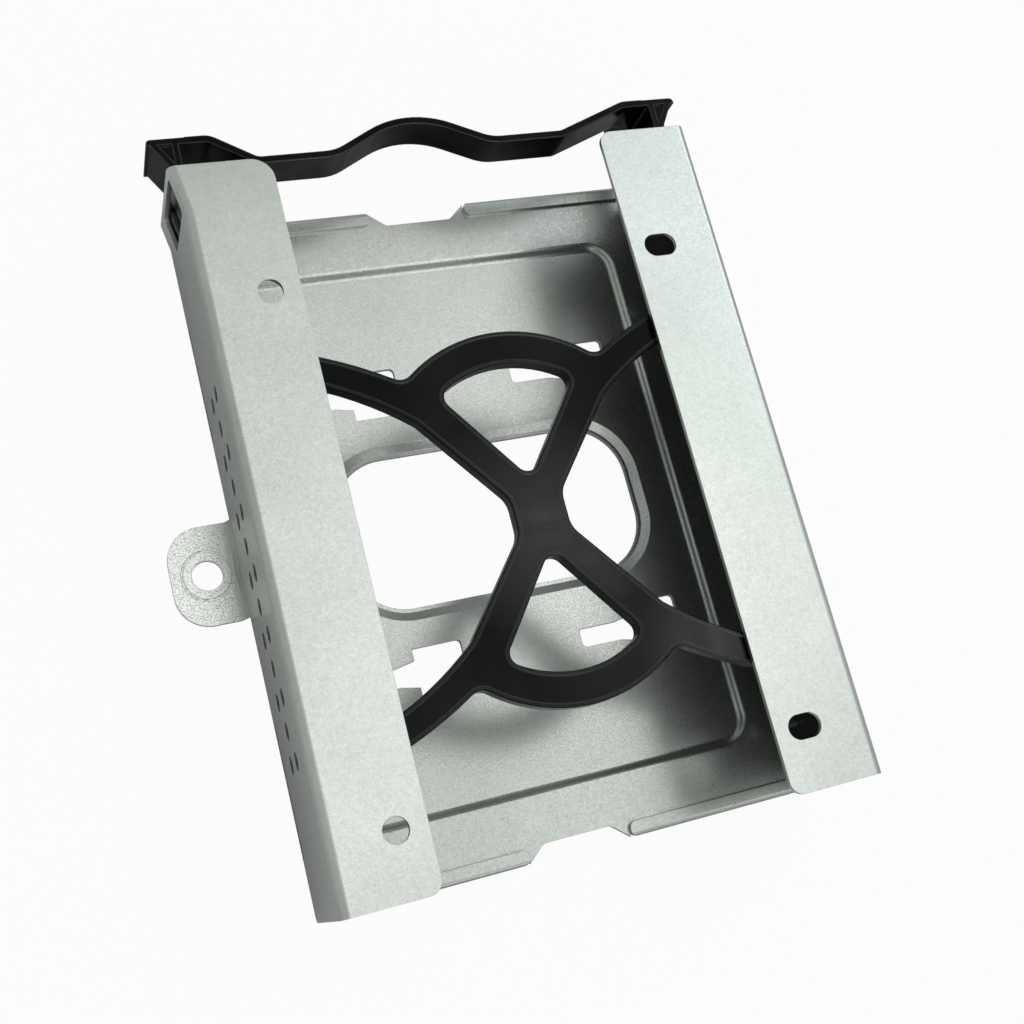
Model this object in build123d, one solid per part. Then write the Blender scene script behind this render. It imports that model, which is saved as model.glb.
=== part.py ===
from build123d import *
from math import atan2, degrees
import os

# Lengths are in millimetres. X is across the cage, +Y points to the bail, +Z points up.
# The cage is drawn about its own middle, and place() then moves everything so that the
# origin is the middle of the whole part's footprint, on the surface it rests on.

# How far cutting shapes run past the part, and how near counts as the same place
CLEAR = 1.0
SAME = 0.01

# Drive that the bracket holds, and the running gaps round it
DRIVE_WIDTH = 101.6
DRIVE_SIDE_GAP = 0.4
DRIVE_LIFT = 0.6
DRIVE_HOLE_HEIGHT = 6.35
DRIVE_HOLE_PITCH = 101.6
DRIVE_HOLE_BACK_Y = 43.5
SLIDE_GAP = 0.6
SEAT_GAP = 0.3

# Sheet-metal cage
SHEET = 1.0
BEND_INSIDE = 0.8
CAGE_LENGTH = 145.5
WALL_HEIGHT = 30.0
LEFT_FLANGE_WIDTH = 19.0
RIGHT_FLANGE_WIDTH = 20.8
FLANGE_BACK_RADIUS = 4.5
FLANGE_FRONT_RADIUS = 2.8
RIGHT_BACK_TRIM = 0.9
CORNER_RELIEF = 2.6

# Floor: stamped recess, dished opening, hems and key slots
RECESS_DEPTH = 1.2
RECESS_SLOPE = 1.3
RECESS_SIDE = 43.5
RECESS_HALF_LENGTH = 58.9
RECESS_RADIUS = 5.0
RECESS_EDGE_RADIUS = 1.2
RIM_STEP = 0.8
RIM_LAND = 0.8
RIM_SLOPE = 3.0
OPENING_LENGTH = 66.6
OPENING_WIDTH = 33.0
OPENING_RADIUS = 12.0
HEM_WIDTH = 3.1
HEM_INNER_END = 11.2
HEM_END_RADIUS = 1.5
NOTCH_DEPTH = 3.3
NOTCH_HALF_WIDTH = 7.5
NOTCH_SLOPE = 3.9
NOTCH_RADIUS = 1.5
KEY_HEAD = 10.6
KEY_SLOT_WIDTH = 4.0
KEY_SLOT_LENGTH = 12.7
KEY_RADIUS = 1.0
KEY_MOUTH_LENGTH = 4.0
KEY_HEAD_XS = (-19.1, 30.4)
KEY_ROW_YS = (-30.2, 30.9)

# Holes in the top flanges, measured from the outside of each wall
FLANGE_HOLE_RADIUS = 2.5
FLANGE_SLOT_LENGTH = 7.3
FLANGE_HOLE_PITCH = 104.6
FLANGE_HOLE_MID_Y = -7.9
LEFT_HOLE_INSET = 12.9
RIGHT_HOLE_INSET = 14.1

# Left wall: staggered round holes, lower slits and the flared back end with its window
PIERCE_PITCH = 12.1
PIERCE_RADIUS = 1.8
PIERCE_BACK_Y = 29.0
PIERCE_MID_Z = 18.0
PIERCE_ROW_STEP = 3.35
PIERCE_COUNT = 7
SLIT_HEIGHT = 1.5
SLIT_BASE = 0.8
SLITS = ((24.6, 49.8), (-60.9, -34.4))
FLARE_LENGTH = 9.5
FLARE_OUT = 1.5
FLARE_BOTTOM = 7.4
FLARE_ROOT = 9.0
WINDOW_LENGTH = 7.8
WINDOW_HEIGHT = 17.4
WINDOW_MID_Z = 21.0
WINDOW_FRONT_GAP = 0.5
WINDOW_RADIUS = 1.2

# Ear, and its screw hole inside a pressed ring
EAR_REACH = 13.5
EAR_WIDTH = 20.7
EAR_MID_Y = -1.6
EAR_RADIUS = 7.0
EAR_JOGGLE = 1.2
EAR_HOLE_FROM_WALL = 6.2
EAR_HOLE_RADIUS = 3.1
EAR_RING_RADIUS = 5.3
EAR_RING_WIDTH = 0.45
EAR_RING_DEPTH = 0.25

# Moulded caddy: rails, crossed web, bail and finger boxes
RAIL_WALL = 2.7
RAIL_FRONT = -68.0
RAIL_BACK = 62.0
RAIL_END_RADIUS = 3.0
TONGUE_WALL = 1.3
TONGUE_ROOT = 4.0
LATCH_GAP = 0.25
LATCH_SET_BACK = 0.5
LATCH_BOTTOM = 9.0
LATCH_TOOTH_TOP = 15.6
WEB_GAP = 0.4
WEB_DEPTH = 3.0
WEB_SKIN = 1.6
WEB_RIM = 1.3
WEB_EDGE = 0.35
WEB_LIP = 0.8
WEB_DISH = 0.25
WEB_MID_Y = -8.0
LOBE_RADIUS = 31.0
LOBE_CENTRE = 7.5
LOBE_BAND = 7.0
WAIST_HALF = 5.5
ARM_VALLEY_X = 20.6
ARM_TOP_AT_RAIL = 42.8
ARM_BOTTOM_AT_RAIL = 36.8
ARM_BOW_X = 35.0
ARM_TOP_BOW_Y = 38.0
ARM_BOTTOM_BOW_Y = 31.5
ARM_BOTTOM_START = (20.0, 22.0)
WAIST_CORNER_Y = 3.7
VALLEY_RADIUS = 3.0
WAIST_RADIUS = 5.0
HOLE_TIP_Y = 7.2
HOLE_SIDE_X = 14.4
HOLE_RADIUS = 2.4
BAIL_THICK = 1.5
BAIL_HEIGHT = 8.6
BAIL_TOP = 24.8
BAIL_FLAT_Y = 76.35
BAIL_HUMP_X = -3.7
BAIL_HUMP_HALF = 17.2
BAIL_HUMP_PEAK = 8.4
BAIL_HUMP_RADIUS = 20.0
BAIL_FOOT_RADIUS = 10.0
BAIL_BEND_RADIUS = 4.0
BAIL_LEFT_RUN = 8.9
BAIL_RIGHT_RUN = 16.4
BOX_HEIGHT = 12.3
BOX_BACK_Y = 82.8
BOX_WALL = 1.3
BOX_SLANT_WALL = 1.5
BOX_GUSSET_DROP = 0.7
BOX_GUSSET_THICK = 1.2
BOX_SPREAD = 3.8
BOX_INWARD = 4.8
BOX_FOOT_OUT = 1.3
BOX_FOOT_Y = 76.6
BOX_SLANT_LENGTH = 3.0
BOX_CORNER_RADIUS = 1.0

# Steel drive pins
PIN_RADIUS = 1.3
PIN_REACH = 3.0
PIN_TIP_CHAMFER = 0.4
PIN_FIT = 0.02

# Worked out from the values above
CAGE_WIDTH = DRIVE_WIDTH + 2 * (DRIVE_SIDE_GAP + RAIL_WALL + SLIDE_GAP + SHEET)
WALL_X = CAGE_WIDTH / 2
END_Y = CAGE_LENGTH / 2
RECESS_BOTTOM = RIM_STEP
BORDER_BOTTOM = RIM_STEP + RECESS_DEPTH
BORDER_TOP = BORDER_BOTTOM + SHEET
FLANGE_TOP = BORDER_BOTTOM + WALL_HEIGHT
RAIL_OUT = WALL_X - SHEET - SLIDE_GAP
RAIL_IN = RAIL_OUT - RAIL_WALL
RAIL_BOTTOM = BORDER_TOP + SEAT_GAP
WEB_TOP = FLANGE_TOP - SHEET - WEB_GAP
WEB_BOTTOM = WEB_TOP - WEB_DEPTH
BOX_REACH = RAIL_OUT + BOX_FOOT_OUT + BOX_SPREAD
BOX_INNER_X = RAIL_IN - BOX_INWARD
BAIL_LEFT_X = -BOX_INNER_X + BAIL_LEFT_RUN
BAIL_RIGHT_X = BOX_INNER_X - BAIL_RIGHT_RUN
HEM_OUTER_END = RAIL_IN - WEB_GAP
PIN_Z = BORDER_TOP + DRIVE_LIFT + DRIVE_HOLE_HEIGHT
BAIL_RISE = BAIL_HUMP_PEAK / BAIL_HUMP_HALF
BAIL_CREST_Y = BAIL_FLAT_Y + BAIL_HUMP_PEAK - BAIL_HUMP_RADIUS * ((1 + BAIL_RISE ** 2) ** 0.5 - 1)
FOOTPRINT_MID = (
    (BOX_REACH - WALL_X - EAR_REACH) / 2,
    (BAIL_CREST_Y + BAIL_THICK / 2 - END_Y) / 2,
)


def slab(x0, x1, y0, y1, z0, z1):
    """A box between two corners."""
    size = Box(x1 - x0, y1 - y0, z1 - z0)
    return Pos((x0 + x1) / 2, (y0 + y1) / 2, (z0 + z1) / 2) * size


def prism(face, z0, z1):
    """A plan outline raised from one height to another."""
    return extrude(Pos(0, 0, z0) * face, amount=z1 - z0)


def cross_prism(points, x0, x1):
    """An outline given as (y, z) points, run along X."""
    outline = make_face(Polyline(*points, close=True))
    return extrude(Plane.YZ.offset(x0) * outline, amount=x1 - x0)


def cage_shell():
    """Floor, walls and the two in-turned flanges, as one bent strip."""
    outer = RectangleRounded(CAGE_WIDTH, WALL_HEIGHT, BEND_INSIDE + SHEET)
    inner = RectangleRounded(CAGE_WIDTH - 2 * SHEET, WALL_HEIGHT - 2 * SHEET, BEND_INSIDE)
    section = Plane.XZ * (outer - inner)
    tube = extrude(section, amount=END_Y, both=True)
    tube = Pos(0, 0, BORDER_BOTTOM + WALL_HEIGHT / 2) * tube
    left_edge = -WALL_X + LEFT_FLANGE_WIDTH
    right_edge = WALL_X - RIGHT_FLANGE_WIDTH
    gap = slab(
        left_edge, right_edge, -END_Y - CLEAR, END_Y + CLEAR,
        FLANGE_TOP - 2 * SHEET, FLANGE_TOP + CLEAR,
    )
    shell = tube - gap
    trim = slab(
        0, WALL_X + CLEAR, END_Y - RIGHT_BACK_TRIM, END_Y + CLEAR,
        BORDER_TOP + SHEET, FLANGE_TOP + CLEAR,
    )
    shell = shell - trim
    return round_flange_corners(shell, left_edge, right_edge)


def round_flange_corners(shell, left_edge, right_edge):
    """Round the free corners of both flanges."""
    upright = shell.edges().filter_by(Axis.Z)
    for back, radius in ((True, FLANGE_BACK_RADIUS), (False, FLANGE_FRONT_RADIUS)):
        corner = [
            edge for edge in upright
            if abs(edge.center().X - left_edge) < SAME and (edge.center().Y > 0) == back
        ]
        shell = fillet(corner, radius)
        upright = shell.edges().filter_by(Axis.Z)
    corners = [edge for edge in upright if abs(edge.center().X - right_edge) < SAME]
    return fillet(corners, FLANGE_FRONT_RADIUS)


def tapered_block(z_low, z_high, length, width, radius, run):
    """Rounded block, given by its foot, whose sides spread outward by one run up to its top."""
    top = RectangleRounded(length + 2 * run, width + 2 * run, radius + run)
    lean = degrees(atan2(run, z_high - z_low))
    return extrude(Pos(0, 0, z_high) * top, amount=z_high - z_low, dir=(0, 0, -1), taper=lean)


def level_edges(shape, z, reach):
    """Level edges of the recess at one height."""
    found = []
    for edge in shape.edges():
        span = edge.bounding_box()
        level = abs(span.min.Z - z) < SAME and abs(span.max.Z - z) < SAME
        if level and abs(edge.center().X) < reach and abs(edge.center().Y) < END_Y - HEM_WIDTH:
            found.append(edge)
    return found


def add_recess(cage):
    """Press the middle of the floor down, with sloping sides and soft edges on the upper face."""
    rise = RECESS_DEPTH + SHEET / 2
    width, length = 2 * RECESS_SIDE, 2 * RECESS_HALF_LENGTH
    block = tapered_block(RECESS_BOTTOM, RECESS_BOTTOM + rise, width, length, RECESS_RADIUS, RECESS_SLOPE)
    foot = RECESS_BOTTOM + SHEET
    hollow = tapered_block(foot, foot + rise, width - SHEET, length - SHEET, RECESS_RADIUS, RECESS_SLOPE)
    cage = cage + block - hollow
    reach = RECESS_SIDE + RECESS_SLOPE + SHEET
    for z in (BORDER_TOP, RECESS_BOTTOM + SHEET):
        cage = fillet(level_edges(cage, z, reach), RECESS_EDGE_RADIUS)
    return cage


def add_opening(cage):
    """Cut the large rounded opening, with its rim pressed down to the rest plane."""
    rise = RIM_STEP + SHEET / 2
    length, width = OPENING_LENGTH + 2 * RIM_LAND, OPENING_WIDTH + 2 * RIM_LAND
    radius = OPENING_RADIUS + RIM_LAND
    rim = tapered_block(0, rise, length, width, radius, RIM_SLOPE)
    seat = tapered_block(SHEET, SHEET + rise, length, width, radius, RIM_SLOPE)
    opening = RectangleRounded(OPENING_LENGTH, OPENING_WIDTH, OPENING_RADIUS)
    return cage + rim - seat - prism(opening, -CLEAR, BORDER_TOP)


def key_slot_outline(head_x, row_y):
    """Square head with a narrow slot running from it towards -X."""
    head = Pos(head_x, row_y) * Rectangle(KEY_HEAD, KEY_HEAD)
    head = fillet(head.vertices().sort_by(Axis.X)[-2:], KEY_RADIUS)
    reach = KEY_SLOT_LENGTH + KEY_HEAD / 2
    neck = Pos(head_x - reach / 2, row_y) * Rectangle(reach, KEY_SLOT_WIDTH)
    neck = fillet(neck.vertices().sort_by(Axis.X)[:2], KEY_RADIUS)
    mouth_x = head_x - KEY_HEAD / 2
    half = KEY_SLOT_WIDTH / 2
    mouth = make_face(Polyline(
        (mouth_x - KEY_MOUTH_LENGTH, row_y - half),
        (mouth_x + KEY_RADIUS, row_y - half - KEY_RADIUS),
        (mouth_x + KEY_RADIUS, row_y + half + KEY_RADIUS),
        (mouth_x - KEY_MOUTH_LENGTH, row_y + half),
        close=True,
    ))
    return head + neck + mouth


def cut_key_slots(cage):
    """Four key slots, one pair each side of the opening."""
    for head_x in KEY_HEAD_XS:
        for row_y in KEY_ROW_YS:
            cage = cage - prism(key_slot_outline(head_x, row_y), -CLEAR, BORDER_TOP)
    return cage


def floor_notch(sign):
    """The floor's edge is cut back between the two hems of one end."""
    inner = NOTCH_HALF_WIDTH
    outer = NOTCH_HALF_WIDTH + NOTCH_SLOPE
    line_y = sign * (END_Y - NOTCH_DEPTH)
    edge_y = sign * (END_Y + CLEAR)
    outline = make_face(Polyline(
        (-inner, line_y), (inner, line_y), (outer, sign * END_Y), (outer, edge_y),
        (-outer, edge_y), (-outer, sign * END_Y), close=True,
    ))
    corners = [point for point in outline.vertices() if abs(point.Y - line_y) < SAME]
    return prism(fillet(corners, NOTCH_RADIUS), BORDER_BOTTOM - CLEAR, BORDER_TOP + CLEAR)


def hem(sign_x, sign_y):
    """Edge of the floor folded back flat on itself, with a round fold and a round inner end."""
    length = HEM_OUTER_END - HEM_INNER_END
    mid_x = sign_x * (HEM_INNER_END + HEM_OUTER_END) / 2
    mid_y = sign_y * (END_Y - HEM_WIDTH / 2)
    plan = Pos(mid_x, mid_y) * Rectangle(length, HEM_WIDTH)
    plan = fillet(plan.vertices().sort_by(lambda point: abs(point.X))[:2], HEM_END_RADIUS)
    leaf = prism(plan, BORDER_BOTTOM, BORDER_TOP + SHEET)
    fold_y = sign_y * (END_Y - SHEET)
    fold = Pos(mid_x, fold_y, BORDER_TOP) * Rot(0, 90, 0) * Cylinder(SHEET, length)
    inner_y = sign_y * (END_Y - HEM_WIDTH)
    leaves = slab(
        mid_x - length / 2, mid_x + length / 2, min(inner_y, fold_y), max(inner_y, fold_y),
        BORDER_BOTTOM, BORDER_TOP + SHEET,
    )
    return leaf & (fold + leaves)


def add_hems(cage):
    """Four hems stiffen the front and back edges of the floor."""
    for sign_y in (-1, 1):
        cage = cage - floor_notch(sign_y)
        for sign_x in (-1, 1):
            mid_x = sign_x * (HEM_INNER_END + HEM_OUTER_END) / 2
            half = (HEM_OUTER_END - HEM_INNER_END) / 2
            y_fold = sign_y * (END_Y - SHEET)
            y_out = sign_y * (END_Y + CLEAR)
            square_edge = slab(
                mid_x - half, mid_x + half, min(y_fold, y_out), max(y_fold, y_out),
                BORDER_BOTTOM - CLEAR, BORDER_TOP + CLEAR,
            )
            cage = cage - square_edge + hem(sign_x, sign_y)
    return cage


def relieve_corners(cage):
    """Take the sharp lower corners off the walls, where the floor's bend ends."""
    for sign_x in (-1, 1):
        for sign_y in (-1, 1):
            low = BORDER_BOTTOM - CLEAR
            points = (
                (sign_y * (END_Y - CORNER_RELIEF), low),
                (sign_y * (END_Y + CLEAR), low),
                (sign_y * (END_Y + CLEAR), BORDER_BOTTOM + CORNER_RELIEF + CLEAR),
                (sign_y * END_Y, BORDER_BOTTOM + CORNER_RELIEF),
            )
            x0, x1 = sorted((sign_x * HEM_OUTER_END, sign_x * (WALL_X + CLEAR)))
            cage = cage - cross_prism(points, x0, x1)
    return cage


def cut_flange_holes(cage):
    """Round holes in the left flange, slots across the right one."""
    left_x = -WALL_X + LEFT_HOLE_INSET
    right_x = WALL_X - RIGHT_HOLE_INSET
    for side in (-1, 1):
        y = FLANGE_HOLE_MID_Y + side * FLANGE_HOLE_PITCH / 2
        z0 = FLANGE_TOP - 2 * SHEET
        z1 = FLANGE_TOP + SHEET
        cage = cage - prism(Pos(left_x, y) * Circle(FLANGE_HOLE_RADIUS), z0, z1)
        slot = SlotOverall(FLANGE_SLOT_LENGTH, 2 * FLANGE_HOLE_RADIUS)
        cage = cage - prism(Pos(right_x, y) * slot, z0, z1)
    return cage


def wall_cutter(outline, y, z):
    """An outline drawn with Y across and Z up, run through the left wall."""
    middle = Plane(origin=(-WALL_X + SHEET / 2, y, z), x_dir=(0, 1, 0), z_dir=(1, 0, 0))
    return extrude(middle * outline, amount=SHEET, both=True)


def pierce_left_wall(cage):
    """Three staggered rows of round vent holes, and two long slits low down."""
    vent = Circle(PIERCE_RADIUS)
    cutters = []
    for index in range(PIERCE_COUNT):
        y = PIERCE_BACK_Y - index * PIERCE_PITCH
        cutters.append(wall_cutter(vent, y, PIERCE_MID_Z + PIERCE_ROW_STEP))
        cutters.append(wall_cutter(vent, y, PIERCE_MID_Z - PIERCE_ROW_STEP))
        if index < PIERCE_COUNT - 1:
            cutters.append(wall_cutter(vent, y - PIERCE_PITCH / 2, PIERCE_MID_Z))
    for front, back in SLITS:
        z = BORDER_TOP + SLIT_BASE + SLIT_HEIGHT / 2
        cutters.append(wall_cutter(Rectangle(back - front, SLIT_HEIGHT), (front + back) / 2, z))
    return cage - cutters


def flare_profile(y, out):
    """Section of wall, bend and flange, moved outward, at one place along the cage."""
    bend = BEND_INSIDE + SHEET
    root = -WALL_X + FLARE_ROOT
    face = -WALL_X - out
    middle = (face + bend, FLANGE_TOP - bend)
    diagonal = 0.5 ** 0.5

    def on_arc(radius):
        return (middle[0] - radius * diagonal, y, middle[1] + radius * diagonal)

    return Wire([
        Line((root, y, FLANGE_TOP), (middle[0], y, FLANGE_TOP)),
        ThreePointArc((middle[0], y, FLANGE_TOP), on_arc(bend), (face, y, middle[1])),
        Line((face, y, middle[1]), (face, y, FLARE_BOTTOM)),
        Line((face, y, FLARE_BOTTOM), (face + SHEET, y, FLARE_BOTTOM)),
        Line((face + SHEET, y, FLARE_BOTTOM), (face + SHEET, y, middle[1])),
        ThreePointArc(
            (face + SHEET, y, middle[1]), on_arc(BEND_INSIDE), (middle[0], y, FLANGE_TOP - SHEET)
        ),
        Line((middle[0], y, FLANGE_TOP - SHEET), (root, y, FLANGE_TOP - SHEET)),
        Line((root, y, FLANGE_TOP - SHEET), (root, y, FLANGE_TOP)),
    ])


def flare_left_wall(cage):
    """The left wall's back end widens outward as a lead-in, with the latch window in it."""
    start_y = END_Y - FLARE_LENGTH
    cage = cage - slab(
        -WALL_X - CLEAR, -WALL_X + FLARE_ROOT, start_y, END_Y + CLEAR, FLARE_BOTTOM, FLANGE_TOP + CLEAR
    )
    sections = [make_face(flare_profile(start_y, 0)), make_face(flare_profile(END_Y, FLARE_OUT))]
    flare = loft(sections, ruled=True)
    window_y = start_y + WINDOW_FRONT_GAP + WINDOW_LENGTH / 2
    window = RectangleRounded(WINDOW_LENGTH, WINDOW_HEIGHT, WINDOW_RADIUS)
    cutter = extrude(
        Plane(origin=(-WALL_X, window_y, WINDOW_MID_Z), x_dir=(0, 1, 0), z_dir=(1, 0, 0)) * window,
        amount=FLARE_OUT + SHEET, both=True,
    )
    return cage + flare - cutter


def ear():
    """Screw ear that leaves the floor under the left wall and steps down to the rest plane."""
    joggle_x = -WALL_X - EAR_JOGGLE
    tip_x = -WALL_X - EAR_REACH
    root_x = -WALL_X + 2 * SHEET
    profile = make_face(Polyline(
        (root_x, BORDER_TOP), (root_x, BORDER_BOTTOM), (-WALL_X, BORDER_BOTTOM), (joggle_x, 0),
        (tip_x, 0), (tip_x, SHEET), (joggle_x + SHEET / 2, SHEET), (-WALL_X + SHEET / 2, BORDER_TOP),
        close=True,
    ))
    strip = Pos(0, EAR_MID_Y, 0) * extrude(Plane.XZ * profile, amount=EAR_WIDTH / 2, both=True)
    plan_length = 2 * EAR_REACH + 2 * SHEET
    plan = Pos(tip_x + plan_length / 2, EAR_MID_Y) * RectangleRounded(plan_length, EAR_WIDTH, EAR_RADIUS)
    blank = strip & prism(plan, -SHEET, BORDER_TOP + SHEET)
    hole_x = -WALL_X - EAR_HOLE_FROM_WALL
    ring = Circle(EAR_RING_RADIUS) - Circle(EAR_RING_RADIUS - EAR_RING_WIDTH)
    groove = prism(Pos(hole_x, EAR_MID_Y) * ring, SHEET - EAR_RING_DEPTH, SHEET + CLEAR)
    hole = Pos(hole_x, EAR_MID_Y, 0) * Cylinder(EAR_HOLE_RADIUS, 4 * SHEET)
    return blank - groove - hole


def make_cage():
    """The whole folded sheet."""
    cage = cage_shell()
    cage = add_recess(cage)
    cage = add_opening(cage)
    cage = cut_key_slots(cage)
    cage = add_hems(cage)
    cage = relieve_corners(cage)
    cage = cut_flange_holes(cage)
    cage = pierce_left_wall(cage)
    cage = flare_left_wall(cage)
    return cage + ear()


def mirrored_quarters(face):
    """A quarter outline turned into the full one, about both axes."""
    half = face + mirror(face, about=Plane.YZ)
    return half + mirror(half, about=Plane.XZ)


def web_outline():
    """Crossed web seen from above: two bowed ends, a narrow waist and four arms."""
    valley = (ARM_VALLEY_X, LOBE_CENTRE + (LOBE_RADIUS ** 2 - ARM_VALLEY_X ** 2) ** 0.5)
    apex = (0, LOBE_CENTRE + LOBE_RADIUS)
    lobe_x = ARM_VALLEY_X / 2
    lobe_mid = (lobe_x, LOBE_CENTRE + (LOBE_RADIUS ** 2 - lobe_x ** 2) ** 0.5)
    rail_x = RAIL_IN + RAIL_WALL / 2
    waist_corner = (WAIST_HALF, WAIST_CORNER_Y)
    edge = [
        ThreePointArc(apex, lobe_mid, valley),
        ThreePointArc(valley, (ARM_BOW_X, ARM_TOP_BOW_Y), (rail_x, ARM_TOP_AT_RAIL)),
        Line((rail_x, ARM_TOP_AT_RAIL), (rail_x, ARM_BOTTOM_AT_RAIL)),
        ThreePointArc((rail_x, ARM_BOTTOM_AT_RAIL), (ARM_BOW_X, ARM_BOTTOM_BOW_Y), ARM_BOTTOM_START),
        Line(ARM_BOTTOM_START, waist_corner),
        Line(waist_corner, (WAIST_HALF, 0)),
        Line((WAIST_HALF, 0), (0, 0)),
        Line((0, 0), apex),
    ]
    full = mirrored_quarters(make_face(Wire(edge)))
    full = round_points(full, valley, VALLEY_RADIUS)
    return round_points(full, waist_corner, WAIST_RADIUS)


def round_points(face, point, radius):
    """Round an outline's four corners that mirror one point."""
    corners = [
        vertex for vertex in face.vertices()
        if abs(abs(vertex.X) - point[0]) < SAME and abs(abs(vertex.Y) - point[1]) < SAME
    ]
    return fillet(corners, radius)


def web_hole(sign):
    """Rounded triangle between two arms and a bowed end."""
    inner = LOBE_RADIUS - LOBE_BAND
    side_y = LOBE_CENTRE + (inner ** 2 - HOLE_SIDE_X ** 2) ** 0.5
    tip = (0, sign * HOLE_TIP_Y)
    right = (HOLE_SIDE_X, sign * side_y)
    left = (-HOLE_SIDE_X, sign * side_y)
    crown = (0, sign * (LOBE_CENTRE + inner))
    face = make_face(Wire([Line(tip, right), ThreePointArc(right, crown, left), Line(left, tip)]))
    return fillet(face.vertices(), HOLE_RADIUS)


def make_web():
    """Web plate with a fine raised lip on top and a deep rim underneath, along all its edges."""
    outline = web_outline() - web_hole(1) - web_hole(-1)
    plate = extrude(outline, amount=WEB_DEPTH)
    top = plate.faces().sort_by(Axis.Z)[-1]
    shown = [edge for edge in top.edges() if abs(edge.center().X) < RAIL_IN]
    plate = chamfer(shown, WEB_EDGE)
    pocket = offset(outline, -WEB_RIM)
    plate = plate - extrude(pocket, amount=WEB_DEPTH - WEB_SKIN)
    dish = offset(outline, -WEB_LIP)
    plate = plate - Pos(0, 0, WEB_DEPTH - WEB_DISH) * extrude(dish, amount=WEB_DISH)
    return Pos(0, WEB_MID_Y, WEB_BOTTOM) * plate


def make_rail(sign):
    """Upright side rail, drawn down to a thinner and lower spring tongue behind the web."""
    wall = slab(RAIL_IN, RAIL_OUT, RAIL_FRONT, RAIL_BACK, RAIL_BOTTOM, WEB_TOP)
    wall = fillet(wall.edges().filter_by(Axis.X), RAIL_END_RADIUS)
    tongue = slab(
        RAIL_OUT - TONGUE_WALL, RAIL_OUT, RAIL_BACK - TONGUE_ROOT, BOX_BACK_Y - BOX_WALL / 2,
        BAIL_TOP - BOX_HEIGHT, BAIL_TOP,
    )
    rail = wall + tongue - pin_seats()
    return rail if sign > 0 else mirror(rail, about=Plane.YZ)


def latch_wedge(gap, z0, z1):
    """Thickening of the left tongue that follows the flared wall at one gap."""
    inner = -RAIL_OUT + TONGUE_WALL / 2
    face = -WALL_X + SHEET + gap
    outline = make_face(Polyline(
        (inner, END_Y - FLARE_LENGTH), (face, END_Y - FLARE_LENGTH), (face - FLARE_OUT, END_Y),
        (-RAIL_OUT - BOX_FOOT_OUT, BOX_FOOT_Y), (inner, BOX_FOOT_Y), close=True,
    ))
    return prism(outline, z0, z1)


def make_latch():
    """Latch behind the wall's window: a tooth low down, and the tongue's face set back above it."""
    tooth = latch_wedge(LATCH_GAP, LATCH_BOTTOM, LATCH_TOOTH_TOP)
    return tooth + latch_wedge(LATCH_GAP + LATCH_SET_BACK, LATCH_TOOTH_TOP, BAIL_TOP)


def pin_positions():
    """Y places of the drive's side holes."""
    return (DRIVE_HOLE_BACK_Y - DRIVE_HOLE_PITCH, DRIVE_HOLE_BACK_Y)


def rod(radius, x0, x1):
    """A round bar along X."""
    return Pos((x0 + x1) / 2, 0, 0) * Rot(0, 90, 0) * Cylinder(radius, x1 - x0)


def pin_seats():
    """Holes through the rail for the pins, a little wider than the pins."""
    seat = rod(PIN_RADIUS + PIN_FIT, RAIL_IN, RAIL_OUT)
    return [Pos(0, y, PIN_Z) * seat for y in pin_positions()]


def make_pin(sign_x, y):
    """One plain steel pin, pressed through the rail, whose chamfered tip enters the drive's side hole."""
    pin = rod(PIN_RADIUS, RAIL_IN - PIN_REACH, RAIL_OUT)
    tip = pin.faces().sort_by(Axis.X)[0]
    pin = Pos(0, y, PIN_Z) * chamfer(tip.edges(), PIN_TIP_CHAMFER)
    return pin if sign_x > 0 else mirror(pin, about=Plane.YZ)


def make_bail():
    """Springy band across the back, with a rounded hump for the fingers in its middle."""
    x = BAIL_HUMP_X
    box_y = BOX_BACK_Y - BOX_WALL / 2
    path = FilletPolyline(
        (-RAIL_IN, box_y), (-BOX_INNER_X, box_y), (BAIL_LEFT_X, BAIL_FLAT_Y),
        (x - BAIL_HUMP_HALF, BAIL_FLAT_Y), (x, BAIL_FLAT_Y + BAIL_HUMP_PEAK),
        (x + BAIL_HUMP_HALF, BAIL_FLAT_Y), (BAIL_RIGHT_X, BAIL_FLAT_Y),
        (BOX_INNER_X, box_y), (RAIL_IN, box_y),
        radius=(
            BAIL_BEND_RADIUS, BAIL_BEND_RADIUS, BAIL_FOOT_RADIUS, BAIL_HUMP_RADIUS,
            BAIL_FOOT_RADIUS, BAIL_BEND_RADIUS, BAIL_BEND_RADIUS,
        ),
    )
    return prism(trace(path, BAIL_THICK), BAIL_TOP - BAIL_HEIGHT, BAIL_TOP)


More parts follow.
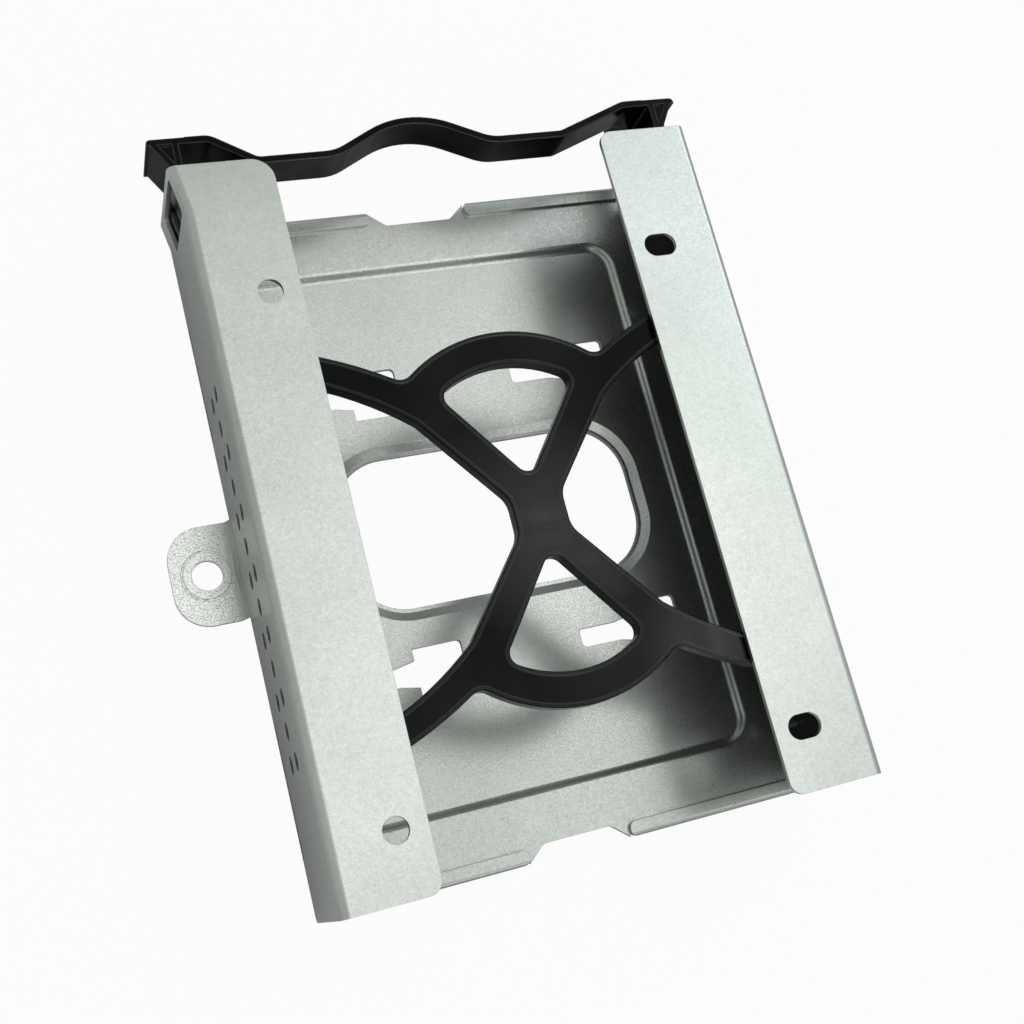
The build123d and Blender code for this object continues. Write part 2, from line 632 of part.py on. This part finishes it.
def finger_box(sign):
    """Hollow end of the bail: back wall, slanting outer wall and a gusset let in between them."""
    back = slab(BOX_INNER_X, BOX_REACH, BOX_BACK_Y - BOX_WALL, BOX_BACK_Y, 0, BOX_HEIGHT)
    foot = RAIL_OUT + BOX_FOOT_OUT
    root_y = BOX_FOOT_Y - BOX_SLANT_LENGTH
    slant = make_face(Polyline(
        (BOX_REACH, BOX_BACK_Y), (BOX_REACH - BOX_SLANT_WALL, BOX_BACK_Y),
        (foot - BOX_SLANT_WALL, BOX_FOOT_Y), (RAIL_OUT - BOX_SLANT_WALL, root_y),
        (RAIL_OUT, root_y), (foot, BOX_FOOT_Y), close=True,
    ))
    box = back + extrude(slant, amount=BOX_HEIGHT)
    upright = box.edges().filter_by(Axis.Z)
    box = fillet(upright.sort_by(lambda edge: edge.center().X + edge.center().Y)[-1], BOX_CORNER_RADIUS)
    inner_x = RAIL_OUT - TONGUE_WALL / 2
    edge_y = BOX_BACK_Y - BOX_WALL / 2
    gusset = make_face(Polyline(
        (inner_x, edge_y), (BOX_REACH - BOX_SLANT_WALL, edge_y), (foot - BOX_SLANT_WALL / 2, BOX_FOOT_Y),
        (inner_x, BOX_FOOT_Y), close=True,
    ))
    gusset_top = BOX_HEIGHT - BOX_GUSSET_DROP
    box = box + prism(gusset, gusset_top - BOX_GUSSET_THICK, gusset_top)
    box = Pos(0, 0, BAIL_TOP - BOX_HEIGHT) * box
    return box if sign > 0 else mirror(box, about=Plane.YZ)


def make_caddy():
    """The one-piece moulding."""
    caddy = make_web() + make_bail() + make_latch()
    for sign in (-1, 1):
        caddy = caddy + make_rail(sign) + finger_box(sign)
    return caddy


def place(shape):
    """Move a shape from the cage's middle to the part's own origin."""
    return Pos(-FOOTPRINT_MID[0], -FOOTPRINT_MID[1], 0) * shape


def main():
    """Write one file for each piece."""
    pieces = {"cage": make_cage(), "caddy": make_caddy()}
    front, back = pin_positions()
    for side, sign in (("left", -1), ("right", 1)):
        for end, y in (("front", front), ("back", back)):
            pieces[f"drive_pin_{side}_{end}"] = make_pin(sign, y)
    os.makedirs("parts", exist_ok=True)
    for name, piece in pieces.items():
        export_step(place(piece), f"parts/{name}.step")


main()
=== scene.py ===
import bpy
import math
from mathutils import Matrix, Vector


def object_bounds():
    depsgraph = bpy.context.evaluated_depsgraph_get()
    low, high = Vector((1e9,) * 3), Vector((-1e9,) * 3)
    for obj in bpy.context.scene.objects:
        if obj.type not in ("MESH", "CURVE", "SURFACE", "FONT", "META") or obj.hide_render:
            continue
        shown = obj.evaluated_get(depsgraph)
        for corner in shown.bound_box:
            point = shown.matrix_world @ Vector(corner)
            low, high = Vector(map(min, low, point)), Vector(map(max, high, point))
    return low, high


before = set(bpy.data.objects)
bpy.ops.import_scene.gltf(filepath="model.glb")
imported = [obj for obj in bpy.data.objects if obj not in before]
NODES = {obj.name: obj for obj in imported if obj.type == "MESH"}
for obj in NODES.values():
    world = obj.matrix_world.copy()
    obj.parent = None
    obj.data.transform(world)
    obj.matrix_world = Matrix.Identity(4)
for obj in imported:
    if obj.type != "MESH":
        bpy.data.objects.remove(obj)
cad_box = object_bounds()

# Camera of the photograph, in metres and degrees, in the model's own frame
CAMERA_PLACE = (-0.09105, -0.07064, 0.28141)
CAMERA_TURN = (17.02, -16.013, -14.991)
CAMERA_LENS = 49.37
SENSOR = 36.0

# Finishes
ZINC = (0.52, 0.55, 0.512)
ZINC_PALE = (0.63, 0.662, 0.622)
# A darker zinc, for the speckle and for the darkening low down and in front
ZINC_DARK = (0.22, 0.24, 0.222)
# Painted light: a lighter zinc laid over the ear, and a painted highlight along the sheet's edges
ZINC_PAINTED_LIGHT = (0.9, 0.93, 0.88)
BLACK = (0.003, 0.0034, 0.004)
BLACK_WORN = (0.012, 0.013, 0.014)
# Painted highlight along the moulding's edges, together with rubbed wear
BLACK_RUB_AND_HIGHLIGHT = (0.1, 0.104, 0.108)
PIN_STEEL = (0.60, 0.60, 0.59)
PIN_DULL = (0.40, 0.41, 0.40)
FLOOR_PALE = (0.7, 0.7, 0.7)
FLOOR_SIZE = 6.0
FLOOR_DROP = 0.0002

# Real sizes of the surface texture, in metres
SPANGLE = 0.0012
GRAIN = 0.00035
CLOUD = 0.04
MOULD_GRAIN = 0.0004
MOULD_WAVE = 0.018
MOULD_SHINE = 0.035
MOULD_EDGE = 0.0005
MOULD_DEPTH = 0.0001
SHEET_EDGE = 0.0002
SHEET_DEPTH = 0.00001
PIN_WEAR = 0.0008

# Where the sheet's tone and speckle change, in metres: between two heights, at the ear along X
# (where painted light makes the zinc lighter), and from the front backwards along Y
SPECKLED_BELOW = 0.004
CALM_ABOVE = 0.03
EAR_FROM = 0.0508
EAR_BY = 0.0525
DARKEST_BEFORE = -0.06
LEAST_DARK_BEHIND = 0.01

# Polished places of the moulding, each as a point and a reach, in metres
POLISHED_PLACES = (((0.004, -0.015, 0.029), 0.024), ((0.033, -0.046, 0.029), 0.016))
POLISHED_CORE = 0.003

# Amounts of each effect as shares of 1, a pair from its lowest to its highest
ZINC_METALLIC = 0.9
ZINC_ROUGH = (0.24, 0.38)
# Share of the painted edge highlight, with rubbed wear, on the zinc
ZINC_EDGE_WEAR_AND_HIGHLIGHT = 0.6
CLOUD_ROUGH = (-0.02, 0.03)
# How much the zinc is darkened low down, at the front and at the back
FRONT_DARKENING = 0.34
BACK_DARKENING = 0.08
LOW_SPECKLE = 0.5
HIGH_SPECKLE = 0.25
EAR_SPECKLE = 0.35
SPECKLE_DARKEST = 0.9
SPANGLE_DARKEST = 0.1
MOULD_WORN = 0.5
MOULD_ROUGH = (0.12, 0.28)
MOULD_GLOSS = (0.05, 0.1)
# Strength of the painted edge highlight, with rubbed wear, and of the extra gloss at the edges
MOULD_EDGE_WEAR_AND_HIGHLIGHT = 0.8
POLISH = 0.2
PIN_WORN = 0.6
PIN_ROUGH = (0.22, 0.36)

# How strongly the surface patterns stand out, and the shares of wave and grain in the moulding's
SHEET_RELIEF = 0.4
MOULD_RELIEF = 0.6
PIN_RELIEF = 0.5
WAVE_SHARE = 8.0
GRAIN_SHARE = 0.3

# Ranges of a noise over which an effect grows to its full amount; the first spans most of the noise
NOISE_CORE = (0.3, 0.7)
SPECKLE_SPOTS = (0.44, 0.72)
SPANGLE_SPOTS = (0.4, 0.7)
WORN_SPOTS = (0.45, 0.75)
SHINY_SPOTS = (0.35, 0.65)

# Edges: the range in which a softened one turns away from the plain surface, and the angle in
# degrees above which one stays sharp
EDGE_TURN = (0.78, 0.98)
SHARP_ABOVE = 35.0

# Light: the share of plain white that floor and surroundings show to the eye and in reflections,
# the strength of the light that the surroundings give, and the lamps as place, size and watts
SEEN_WHITE = 0.96
MIRRORED_FLOOR = 0.1
MIRRORED_WORLD = 0.35
WORLD_LIGHT = 0.3
WORLD_TINT = (0.96, 1.0, 0.985)
KEY_LAMP = ((0.34, -0.05, 1.1), (1.3, 0.88), 3.2)
SMALL_LAMP = ((0.45, 0.12, 1.1), (0.16, 0.16), 0.17)
SIDE_LAMP = ((0.95, 0.6, 0.9), (0.6, 0.6), 2.2)
FRONT_LAMP = ((0.12, -1.1, 0.6), (0.7, 0.5), 1.3)
PLAIN_WHITE = (1.0, 1.0, 1.0)
COOL_WHITE = (0.82, 0.92, 1.0)


class Shader:
    """A node material with small helpers for making and linking its nodes."""

    def __init__(self, name):
        self.material = bpy.data.materials.new(name)
        self.material.use_nodes = True
        self.tree = self.material.node_tree
        self.surface = self.tree.nodes["Principled BSDF"]
        coordinates = self.tree.nodes.new("ShaderNodeTexCoord")
        self.place = coordinates.outputs["Object"]

    def link(self, source, target):
        self.tree.links.new(source, target)

    def noise(self, size, detail=3.0, rough=0.55):
        node = self.tree.nodes.new("ShaderNodeTexNoise")
        node.inputs["Scale"].default_value = 1.0 / size
        node.inputs["Detail"].default_value = detail
        node.inputs["Roughness"].default_value = rough
        self.link(self.place, node.inputs["Vector"])
        return node.outputs["Fac"]

    def spread(self, value, low, high, low_in=0.0, high_in=1.0):
        """Turn the range from low_in to high_in into the one from low to high, and stop at its ends."""
        node = self.tree.nodes.new("ShaderNodeMapRange")
        node.inputs["From Min"].default_value = low_in
        node.inputs["From Max"].default_value = high_in
        node.inputs["To Min"].default_value = low
        node.inputs["To Max"].default_value = high
        self.link(value, node.inputs["Value"])
        return node.outputs["Result"]

    def sum(self, first, second):
        node = self.tree.nodes.new("ShaderNodeMath")
        self.link(first, node.inputs[0])
        self.link(second, node.inputs[1])
        return node.outputs["Value"]

    def product(self, first, second):
        node = self.tree.nodes.new("ShaderNodeMath")
        node.operation = "MULTIPLY"
        self.link(first, node.inputs[0])
        self.link(second, node.inputs[1])
        return node.outputs["Value"]

    def distance(self, point):
        node = self.tree.nodes.new("ShaderNodeVectorMath")
        node.operation = "DISTANCE"
        node.inputs[1].default_value = point
        self.link(self.place, node.inputs[0])
        return node.outputs["Value"]

    def along(self, axis):
        node = self.tree.nodes.new("ShaderNodeSeparateXYZ")
        self.link(self.place, node.inputs["Vector"])
        return node.outputs[axis]

    def blend(self, factor, first, second):
        node = self.tree.nodes.new("ShaderNodeMix")
        node.data_type = "RGBA"
        self.link(factor, node.inputs["Factor"])
        for socket, value in (("A", first), ("B", second)):
            target = [i for i in node.inputs if i.name == socket and i.type == "RGBA"][0]
            if isinstance(value, tuple):
                target.default_value = value + (1.0,)
            else:
                self.link(value, target)
        return [o for o in node.outputs if o.type == "RGBA"][0]

    def softened(self, radius):
        """The surface's direction, with its edges rounded in the shading."""
        node = self.tree.nodes.new("ShaderNodeBevel")
        node.inputs["Radius"].default_value = radius
        return node.outputs["Normal"]

    def edges(self, radius, strength):
        """The strength at an edge, and 0 away from it."""
        plain = self.tree.nodes.new("ShaderNodeNewGeometry")
        node = self.tree.nodes.new("ShaderNodeVectorMath")
        node.operation = "DOT_PRODUCT"
        self.link(self.softened(radius), node.inputs[0])
        self.link(plain.outputs["Normal"], node.inputs[1])
        return self.spread(node.outputs["Value"], strength, 0.0, *EDGE_TURN)

    def bump(self, height, depth, strength, edge):
        """Raise the surface by a pattern, and soften the edges by a small radius."""
        node = self.tree.nodes.new("ShaderNodeBump")
        node.inputs["Strength"].default_value = strength
        node.inputs["Distance"].default_value = depth
        self.link(self.softened(edge), node.inputs["Normal"])
        self.link(height, node.inputs["Height"])
        self.link(node.outputs["Normal"], self.surface.inputs["Normal"])


def galvanised():
    """Zinc-coated sheet: soft clouding, darker low down and in front, grainier low down, painted light on
    the ear, painted highlight with rubbed wear at the edges.
    """
    shader = Shader("galvanised_sheet")
    grain = shader.noise(GRAIN, rough=0.65)
    spangle = shader.noise(SPANGLE, detail=2.0)
    cloud = shader.noise(CLOUD, detail=4.0)
    low = shader.spread(shader.along("Z"), 1.0, 0.0, SPECKLED_BELOW, CALM_ABOVE)
    front = shader.spread(shader.along("Y"), FRONT_DARKENING, BACK_DARKENING, DARKEST_BEFORE, LEAST_DARK_BEHIND)
    on_ear = shader.spread(shader.along("X"), 1.0, 0.0, -EAR_BY, -EAR_FROM)
    clouded = shader.blend(shader.spread(cloud, 0.0, 1.0, *NOISE_CORE), ZINC, ZINC_PALE)
    # Darker low down and towards the front
    darkened_low_front = shader.blend(shader.product(low, front), clouded, ZINC_DARK)
    # Painted light: the ear is made lighter
    tone_and_ear_light = shader.blend(on_ear, darkened_low_front, ZINC_PAINTED_LIGHT)
    by_height = shader.spread(shader.along("Z"), LOW_SPECKLE, HIGH_SPECKLE, SPECKLED_BELOW, CALM_ABOVE)
    worn = shader.sum(shader.spread(on_ear, 0.0, EAR_SPECKLE), by_height)
    speckle = shader.product(worn, shader.spread(grain, 0.0, SPECKLE_DARKEST, *SPECKLE_SPOTS))
    mottle = shader.sum(speckle, shader.spread(spangle, 0.0, SPANGLE_DARKEST, *SPANGLE_SPOTS))
    mottled = shader.blend(mottle, tone_and_ear_light, ZINC_DARK)
    # Painted highlight, with rubbed wear: the edges are made lighter
    colour = shader.blend(shader.edges(SHEET_EDGE, ZINC_EDGE_WEAR_AND_HIGHLIGHT), mottled, ZINC_PAINTED_LIGHT)
    shader.link(colour, shader.surface.inputs["Base Color"])
    rough = shader.sum(shader.spread(grain, *ZINC_ROUGH, *NOISE_CORE), shader.spread(cloud, *CLOUD_ROUGH))
    shader.link(rough, shader.surface.inputs["Roughness"])
    shader.surface.inputs["Metallic"].default_value = ZINC_METALLIC
    shader.bump(shader.sum(spangle, grain), SHEET_DEPTH, SHEET_RELIEF, SHEET_EDGE)
    return shader.material


def black_moulding():
    """Black moulded plastic: slightly wavy, with polished places, painted highlight and rubbed wear at
    the edges, and a faint grain.
    """
    shader = Shader("black_moulding")
    wave = shader.noise(MOULD_WAVE, detail=2.0)
    grain = shader.noise(MOULD_GRAIN, detail=2.0)
    shine = shader.noise(MOULD_SHINE, detail=1.0)
    edges = shader.edges(MOULD_EDGE, MOULD_EDGE_WEAR_AND_HIGHLIGHT)
    plain = shader.blend(shader.spread(wave, 0.0, MOULD_WORN, *WORN_SPOTS), BLACK, BLACK_WORN)
    # Painted highlight, with rubbed wear: the edges are made lighter
    shader.link(shader.blend(edges, plain, BLACK_RUB_AND_HIGHLIGHT), shader.surface.inputs["Base Color"])
    shader.link(shader.spread(wave, *MOULD_ROUGH, *NOISE_CORE), shader.surface.inputs["Roughness"])
    gloss = shader.sum(shader.spread(shine, *MOULD_GLOSS, *SHINY_SPOTS), edges)
    for place, reach in POLISHED_PLACES:
        polish = shader.spread(shader.distance(place), POLISH, 0.0, POLISHED_CORE, reach)
        gloss = shader.sum(gloss, polish)
    shader.link(gloss, shader.surface.inputs["Specular IOR Level"])
    height = shader.sum(shader.spread(wave, 0.0, WAVE_SHARE), shader.spread(grain, 0.0, GRAIN_SHARE))
    shader.bump(height, MOULD_DEPTH, MOULD_RELIEF, MOULD_EDGE)
    return shader.material


def pin_steel():
    """Bright turned steel with fine uneven wear."""
    shader = Shader("pin_steel")
    wear = shader.noise(PIN_WEAR)
    colour = shader.blend(shader.spread(wear, 0.0, PIN_WORN), PIN_STEEL, PIN_DULL)
    shader.link(colour, shader.surface.inputs["Base Color"])
    shader.link(shader.spread(wear, *PIN_ROUGH), shader.surface.inputs["Roughness"])
    shader.surface.inputs["Metallic"].default_value = 1.0
    shader.bump(wear, SHEET_DEPTH, PIN_RELIEF, SHEET_EDGE)
    return shader.material


def shown_white(tree, mirrored):
    """Share of plain white by kind of ray: for the eye and see-through parts, and for reflections."""
    path = tree.nodes.new("ShaderNodeLightPath")
    shares = (
        ("Is Camera Ray", SEEN_WHITE),
        ("Is Transmission Ray", SEEN_WHITE),
        ("Is Glossy Ray", mirrored),
    )
    total = None
    for kind, share in shares:
        part = tree.nodes.new("ShaderNodeMath")
        part.operation = "MULTIPLY"
        part.inputs[1].default_value = share
        tree.links.new(path.outputs[kind], part.inputs[0])
        if total is None:
            total = part.outputs["Value"]
            continue
        larger = tree.nodes.new("ShaderNodeMath")
        larger.operation = "MAXIMUM"
        tree.links.new(total, larger.inputs[0])
        tree.links.new(part.outputs["Value"], larger.inputs[1])
        total = larger.outputs["Value"]
    return total


def blend_to_white(tree, plain, white, mirrored, output_kind, socket):
    """Mix a plain surface or light with the white that is shown, and put it out."""
    mix = tree.nodes.new("ShaderNodeMixShader")
    tree.links.new(shown_white(tree, mirrored), mix.inputs[0])
    tree.links.new(plain, mix.inputs[1])
    tree.links.new(white, mix.inputs[2])
    output = tree.nodes.new(output_kind)
    tree.links.new(mix.outputs["Shader"], output.inputs[socket])


def make_floor():
    """Plain white floor under the part, which keeps a soft shadow."""
    bpy.ops.mesh.primitive_plane_add(size=FLOOR_SIZE, location=(0, 0, cad_box[0].z - FLOOR_DROP))
    floor = bpy.context.object
    floor.name = "studio_floor"
    material = bpy.data.materials.new("studio_white")
    material.use_nodes = True
    tree = material.node_tree
    tree.nodes.clear()
    matt = tree.nodes.new("ShaderNodeBsdfDiffuse")
    matt.inputs["Color"].default_value = FLOOR_PALE + (1.0,)
    glow = tree.nodes.new("ShaderNodeEmission")
    glow.inputs["Color"].default_value = PLAIN_WHITE + (1.0,)
    surfaces = (matt.outputs["BSDF"], glow.outputs["Emission"])
    blend_to_white(tree, *surfaces, MIRRORED_FLOOR, "ShaderNodeOutputMaterial", "Surface")
    floor.data.materials.append(material)


def make_world():
    """Even pale surroundings: white where seen, a plain level as light."""
    world = bpy.data.worlds.new("studio_surroundings")
    bpy.context.scene.world = world
    world.use_nodes = True
    tree = world.node_tree
    tree.nodes.clear()
    levels = []
    for strength, tint in ((WORLD_LIGHT, WORLD_TINT), (1.0, PLAIN_WHITE)):
        background = tree.nodes.new("ShaderNodeBackground")
        background.inputs["Color"].default_value = tint + (1.0,)
        background.inputs["Strength"].default_value = strength
        levels.append(background.outputs["Background"])
    blend_to_white(tree, *levels, MIRRORED_WORLD, "ShaderNodeOutputWorld", "Surface")


def add_lamp(name, place, size, watts, tint=PLAIN_WHITE):
    """A soft rectangular lamp that points at the part."""
    data = bpy.data.lights.new(name, "AREA")
    data.shape = "RECTANGLE"
    data.size, data.size_y = size
    data.energy = watts
    data.color = tint
    lamp = bpy.data.objects.new(name, data)
    bpy.context.scene.collection.objects.link(lamp)
    lamp.location = place
    flat = math.hypot(place[0], place[1])
    lamp.rotation_euler = (math.atan2(flat, place[2]), 0.0, math.atan2(-place[0], place[1]) + math.pi)


def make_lamps():
    """A large lamp overhead, a small one for gloss, a cool one behind and a low one in front."""
    add_lamp("key_lamp", *KEY_LAMP)
    add_lamp("small_lamp", *SMALL_LAMP)
    add_lamp("side_lamp", *SIDE_LAMP, COOL_WHITE)
    add_lamp("front_lamp", *FRONT_LAMP)


def make_camera():
    """The photograph's own view."""
    data = bpy.data.cameras.new("photo_camera")
    data.sensor_width = SENSOR
    data.lens = CAMERA_LENS
    camera = bpy.data.objects.new("photo_camera", data)
    bpy.context.scene.collection.objects.link(camera)
    camera.location = CAMERA_PLACE
    camera.rotation_euler = tuple(math.radians(angle) for angle in CAMERA_TURN)
    bpy.context.scene.camera = camera


def smooth(node):
    """Round surfaces shade smoothly, and real edges stay sharp."""
    mesh = node.data
    mesh.polygons.foreach_set("use_smooth", [True] * len(mesh.polygons))
    mesh.set_sharp_from_angle(angle=math.radians(SHARP_ABOVE))


def finish_node(name, material):
    """Give a CAD piece its finish."""
    node = NODES[name]
    node.data.materials.clear()
    node.data.materials.append(material)
    smooth(node)


def finish_pieces():
    """Finishes of the cage, the caddy and the pins."""
    finish_node("cage", galvanised())
    finish_node("caddy", black_moulding())
    steel = pin_steel()
    for name in NODES:
        if name.startswith("drive_pin"):
            finish_node(name, steel)


bpy.context.scene.view_settings.view_transform = "Standard"
finish_pieces()
make_floor()
make_world()
make_lamps()
make_camera()
